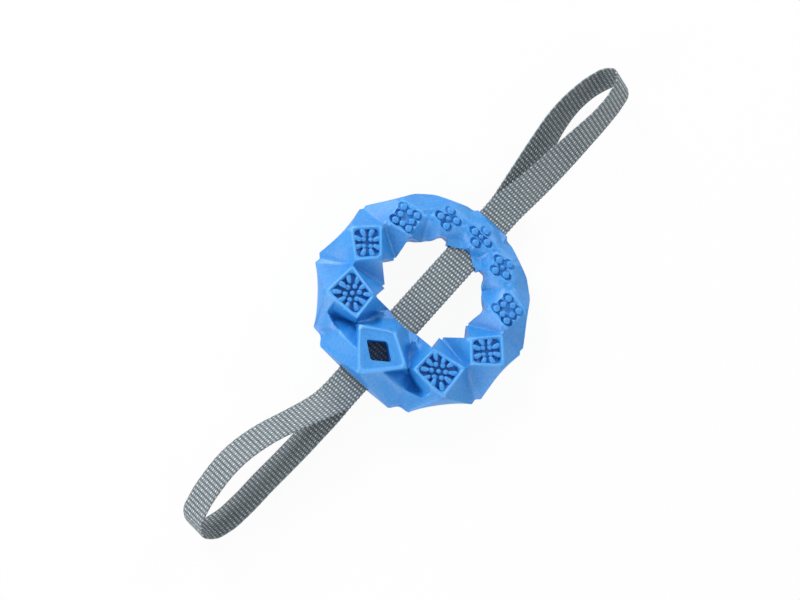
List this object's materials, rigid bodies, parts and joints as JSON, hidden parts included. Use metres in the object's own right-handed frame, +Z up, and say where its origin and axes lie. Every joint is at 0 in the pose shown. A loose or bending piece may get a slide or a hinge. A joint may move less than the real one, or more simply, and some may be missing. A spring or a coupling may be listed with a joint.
{
  "type": "rubber ring dog toy with webbing handles",
  "caption": "Faceted rubber tug ring with nubbed diamond cells on an endless band of flat webbing that opens into a handle loop at each end.",
  "frame": {"origin": "middle of the whole toy's footprint, on the surface that it lies on", "axes": "+X along the webbing from the strap housing to the thin far side of the ring, +Y across the ring, +Z up out of the surface"},
  "size_m": [0.4456, 0.1554, 0.0477],
  "materials": {
    "ring_rubber": "satin moulded blue rubber",
    "grey_webbing": "plain-woven polypropylene webbing, slate grey",
    "grey_thread": "bonded sewing thread, dark grey"
  },
  "bodies": {
    "ring": {"rubber_ring": "ring_rubber", "webbing_upper_run": "grey_webbing", "webbing_lower_end_a": "grey_webbing", "webbing_lower_end_b": "grey_webbing", "lap_stitching": "grey_thread"},
    "housing_side_handle": {"handle_loop_housing_side": "grey_webbing"},
    "far_side_handle": {"handle_loop_far_side": "grey_webbing"}
  },
  "joints": [
    {"name": "housing_side_swing", "type": "hinge", "parent": "ring", "child": "housing_side_handle", "pos_m": [-0.0733, 0, 0.02447], "axis": [0, 1, 0], "range_deg": [-80, 80]},
    {"name": "far_side_swing", "type": "hinge", "parent": "ring", "child": "far_side_handle", "pos_m": [0.0853, 0, 0.01082], "axis": [0, -1, 0], "range_deg": [-80, 80]}
  ]
}
